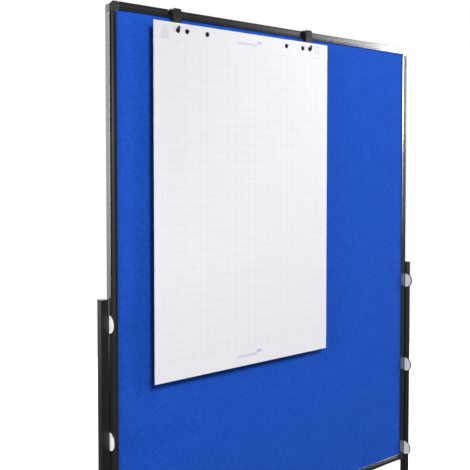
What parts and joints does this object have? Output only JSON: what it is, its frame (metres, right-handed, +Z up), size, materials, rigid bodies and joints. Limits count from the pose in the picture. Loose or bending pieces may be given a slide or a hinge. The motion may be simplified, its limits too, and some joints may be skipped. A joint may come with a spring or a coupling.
{
  "type": "flipchart easel",
  "caption": "Mobile felt pin board in a slim metal frame on castor feet, with a flipchart pad hung from sliding hooks over its top rail.",
  "frame": {"origin": "on the floor, under the middle of the board and of its feet", "axes": "+Z up, +X to the right along the top rail seen from the pad side, +Y from the pad side to the back; the pad hangs on the -Y side"},
  "size_m": [1.274, 0.615, 1.953],
  "materials": {
    "core_board": "raw fibreboard",
    "felt": "matt needle felt",
    "anodised_frame": "satin anodised",
    "corner_plastic": "fine moulded texture",
    "end_plastic": "fine moulded texture",
    "disc_plastic": "smooth moulded, with a dark rim",
    "steel": "turned",
    "foot_paint": "powder coated",
    "castor_plastic": "moulded",
    "wheel_rubber": "dull tread",
    "hook_plastic": "moulded, slightly glossy",
    "paper": "uncoated",
    "card": "grey board"
  },
  "bodies": {
    "stand": {"core_board": "core_board", "felt_front": "felt", "felt_rear": "felt", "top_rail": "anodised_frame", "bottom_rail": "anodised_frame", "left_stile": "anodised_frame", "right_stile": "anodised_frame", "corner_cap_top_left": "corner_plastic", "corner_cap_top_right": "corner_plastic", "corner_cap_bottom_right": "corner_plastic", "corner_cap_bottom_left": "corner_plastic", "left_post": "foot_paint", "left_post_cap": "end_plastic", "left_foot": "foot_paint", "left_lock_screw": "steel", "left_clamp_stud_1": "steel", "left_clamp_stud_2": "steel", "left_clamp_stud_3": "steel", "left_front_foot_cap": "end_plastic", "left_rear_foot_cap": "end_plastic", "right_post": "foot_paint", "right_post_cap": "end_plastic", "right_foot": "foot_paint", "right_lock_screw": "steel", "right_clamp_stud_1": "steel", "right_clamp_stud_2": "steel", "right_clamp_stud_3": "steel", "right_front_foot_cap": "end_plastic", "right_rear_foot_cap": "end_plastic"},
    "left_disc_1": {"left_clamp_disc_1": "disc_plastic"},
    "left_disc_2": {"left_clamp_disc_2": "disc_plastic"},
    "left_disc_3": {"left_clamp_disc_3": "disc_plastic"},
    "left_front_castor": {"left_front_castor_fork": "castor_plastic"},
    "left_front_wheel": {"left_front_castor_wheel": "wheel_rubber", "left_front_castor_axle": "steel"},
    "left_front_brake": {"left_front_brake_pedal": "castor_plastic"},
    "left_rear_castor": {"left_rear_castor_fork": "castor_plastic"},
    "left_rear_wheel": {"left_rear_castor_wheel": "wheel_rubber", "left_rear_castor_axle": "steel"},
    "left_rear_brake": {"left_rear_brake_pedal": "castor_plastic"},
    "right_disc_1": {"right_clamp_disc_1": "disc_plastic"},
    "right_disc_2": {"right_clamp_disc_2": "disc_plastic"},
    "right_disc_3": {"right_clamp_disc_3": "disc_plastic"},
    "right_front_castor": {"right_front_castor_fork": "castor_plastic"},
    "right_front_wheel": {"right_front_castor_wheel": "wheel_rubber", "right_front_castor_axle": "steel"},
    "right_front_brake": {"right_front_brake_pedal": "castor_plastic"},
    "right_rear_castor": {"right_rear_castor_fork": "castor_plastic"},
    "right_rear_wheel": {"right_rear_castor_wheel": "wheel_rubber", "right_rear_castor_axle": "steel"},
    "right_rear_brake": {"right_rear_brake_pedal": "castor_plastic"},
    "left_hanger": {"left_hook": "hook_plastic", "left_hook_pin": "hook_plastic"},
    "right_hanger": {"right_hook": "hook_plastic", "right_hook_pin": "hook_plastic"},
    "pad": {"pad_backing": "card", "pad_head": "paper", "pad_block": "paper"},
    "page": {"top_sheet": "paper"}
  },
  "joints": [
    {"name": "left_disc_1_turn", "type": "hinge", "parent": "stand", "child": "left_disc_1", "pos_m": [-0.603, 0, 1.11], "axis": [-1, 0, 0], "range_deg": [0, 180]},
    {"name": "left_disc_2_turn", "type": "hinge", "parent": "stand", "child": "left_disc_2", "pos_m": [-0.603, 0, 0.801], "axis": [-1, 0, 0], "range_deg": [0, 180]},
    {"name": "left_disc_3_turn", "type": "hinge", "parent": "stand", "child": "left_disc_3", "pos_m": [-0.603, 0, 0.492], "axis": [-1, 0, 0], "range_deg": [0, 180]},
    {"name": "left_front_swivel", "type": "hinge", "parent": "stand", "child": "left_front_castor", "pos_m": [-0.617, -0.25, 0.06], "axis": [0, 0, 1], "continuous": true},
    {"name": "left_front_roll", "type": "hinge", "parent": "left_front_castor", "child": "left_front_wheel", "pos_m": [-0.617, -0.268, 0.025], "axis": [1, 0, 0], "continuous": true},
    {"name": "left_front_brake_press", "type": "hinge", "parent": "left_front_castor", "child": "left_front_brake", "pos_m": [-0.617, -0.276, 0.0537], "axis": [1, 0, 0], "range_deg": [0, 12]},
    {"name": "left_rear_swivel", "type": "hinge", "parent": "stand", "child": "left_rear_castor", "pos_m": [-0.617, 0.25, 0.06], "axis": [0, 0, 1], "continuous": true},
    {"name": "left_rear_roll", "type": "hinge", "parent": "left_rear_castor", "child": "left_rear_wheel", "pos_m": [-0.617, 0.268, 0.025], "axis": [1, 0, 0], "continuous": true},
    {"name": "left_rear_brake_press", "type": "hinge", "parent": "left_rear_castor", "child": "left_rear_brake", "pos_m": [-0.617, 0.276, 0.0537], "axis": [-1, 0, 0], "range_deg": [0, 12]},
    {"name": "right_disc_1_turn", "type": "hinge", "parent": "stand", "child": "right_disc_1", "pos_m": [0.603, 0, 1.11], "axis": [-1, 0, 0], "range_deg": [0, 180]},
    {"name": "right_disc_2_turn", "type": "hinge", "parent": "stand", "child": "right_disc_2", "pos_m": [0.603, 0, 0.801], "axis": [-1, 0, 0], "range_deg": [0, 180]},
    {"name": "right_disc_3_turn", "type": "hinge", "parent": "stand", "child": "right_disc_3", "pos_m": [0.603, 0, 0.492], "axis": [-1, 0, 0], "range_deg": [0, 180]},
    {"name": "right_front_swivel", "type": "hinge", "parent": "stand", "child": "right_front_castor", "pos_m": [0.617, -0.25, 0.06], "axis": [0, 0, 1], "continuous": true},
    {"name": "right_front_roll", "type": "hinge", "parent": "right_front_castor", "child": "right_front_wheel", "pos_m": [0.617, -0.268, 0.025], "axis": [1, 0, 0], "continuous": true},
    {"name": "right_front_brake_press", "type": "hinge", "parent": "right_front_castor", "child": "right_front_brake", "pos_m": [0.617, -0.276, 0.0537], "axis": [1, 0, 0], "range_deg": [0, 12]},
    {"name": "right_rear_swivel", "type": "hinge", "parent": "stand", "child": "right_rear_castor", "pos_m": [0.617, 0.25, 0.06], "axis": [0, 0, 1], "continuous": true},
    {"name": "right_rear_roll", "type": "hinge", "parent": "right_rear_castor", "child": "right_rear_wheel", "pos_m": [0.617, 0.268, 0.025], "axis": [1, 0, 0], "continuous": true},
    {"name": "right_rear_brake_press", "type": "hinge", "parent": "right_rear_castor", "child": "right_rear_brake", "pos_m": [0.617, 0.276, 0.0537], "axis": [-1, 0, 0], "range_deg": [0, 12]},
    {"name": "left_hook_slide", "type": "slide", "parent": "stand", "child": "left_hanger", "axis": [1, 0, 0], "range_m": [-0.12, 0.42]},
    {"name": "right_hook_slide", "type": "slide", "parent": "stand", "child": "right_hanger", "axis": [1, 0, 0], "range_m": [-0.12, 0.42]},
    {"name": "pad_swing", "type": "hinge", "parent": "left_hanger", "child": "pad", "pos_m": [-0.402, -0.03, 1.8916], "axis": [-1, 0, 0], "range_deg": [0, 9]},
    {"name": "page_turn", "type": "hinge", "parent": "pad", "child": "page", "pos_m": [-0.1535, -0.03245, 1.86375], "axis": [-1, 0, 0], "range_deg": [0, 160]}
  ],
  "couplings": [
    {"joint": "right_hook_slide", "follows": "left_hook_slide", "ratio": 1}
  ]
}
